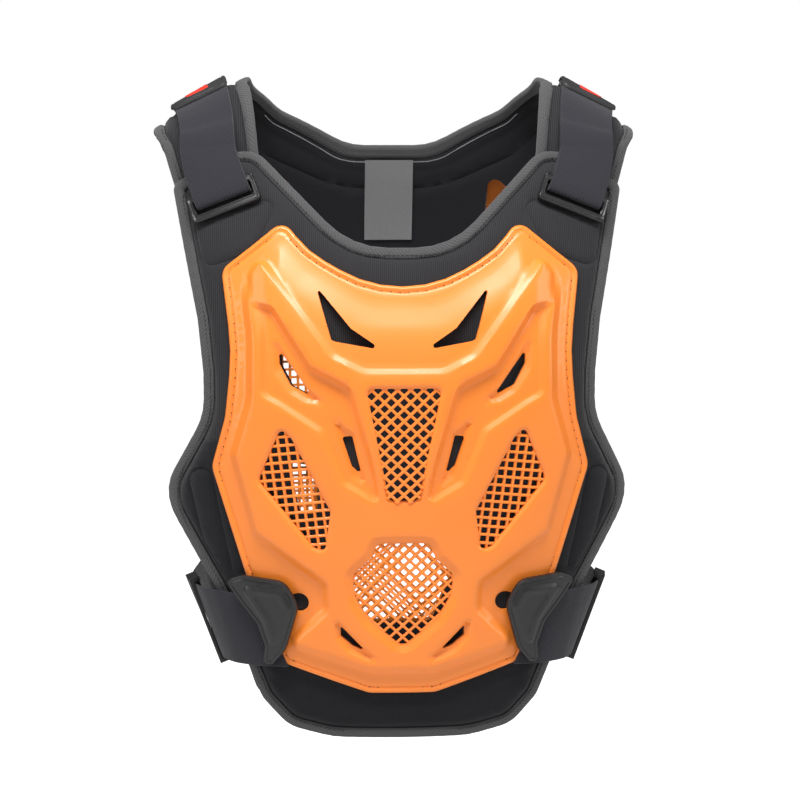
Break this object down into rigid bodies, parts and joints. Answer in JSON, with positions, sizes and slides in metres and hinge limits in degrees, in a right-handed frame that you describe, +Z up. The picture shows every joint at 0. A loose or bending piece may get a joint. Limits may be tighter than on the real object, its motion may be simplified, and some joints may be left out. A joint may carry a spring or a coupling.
{
  "type": "motocross chest protector",
  "caption": "Moulded orange chest and back shells on dark padded panels, joined by shoulder straps over the flaps and by side straps at the waist.",
  "frame": {"origin": "midway between the shoulders, level with the crest of the shoulder flaps where the part rests on its wearer", "axes": "+Z up, +Y towards the wearer's back, +X towards the wearer's left side, at the right of the front view"},
  "size_m": [0.3583, 0.2571, 0.4933],
  "materials": {
    "foam": "fine ribbed knit over foam, matte",
    "tape": "woven edge tape, matte",
    "shell": "moulded, satin gloss",
    "webbing": "woven webbing, matte",
    "hardware": "moulded, satin",
    "rubber": "moulded, matte",
    "label": "satin weave, bare"
  },
  "bodies": {
    "root": {"front_pad": "foam", "front_binding": "tape", "front_shell": "shell", "back_pad": "foam", "back_binding": "tape", "back_shell": "shell", "care_label": "label", "shoulder_strap_left": "webbing", "shoulder_strap_right": "webbing", "strap_ring_left": "hardware", "strap_ring_right": "hardware", "pull_tab_left": "rubber", "pull_tab_right": "rubber", "side_strap_left": "webbing", "side_strap_right": "webbing", "side_slider_left": "hardware", "side_slider_right": "hardware", "side_retainer_left": "hardware", "side_retainer_right": "hardware"}
  },
  "joints": []
}
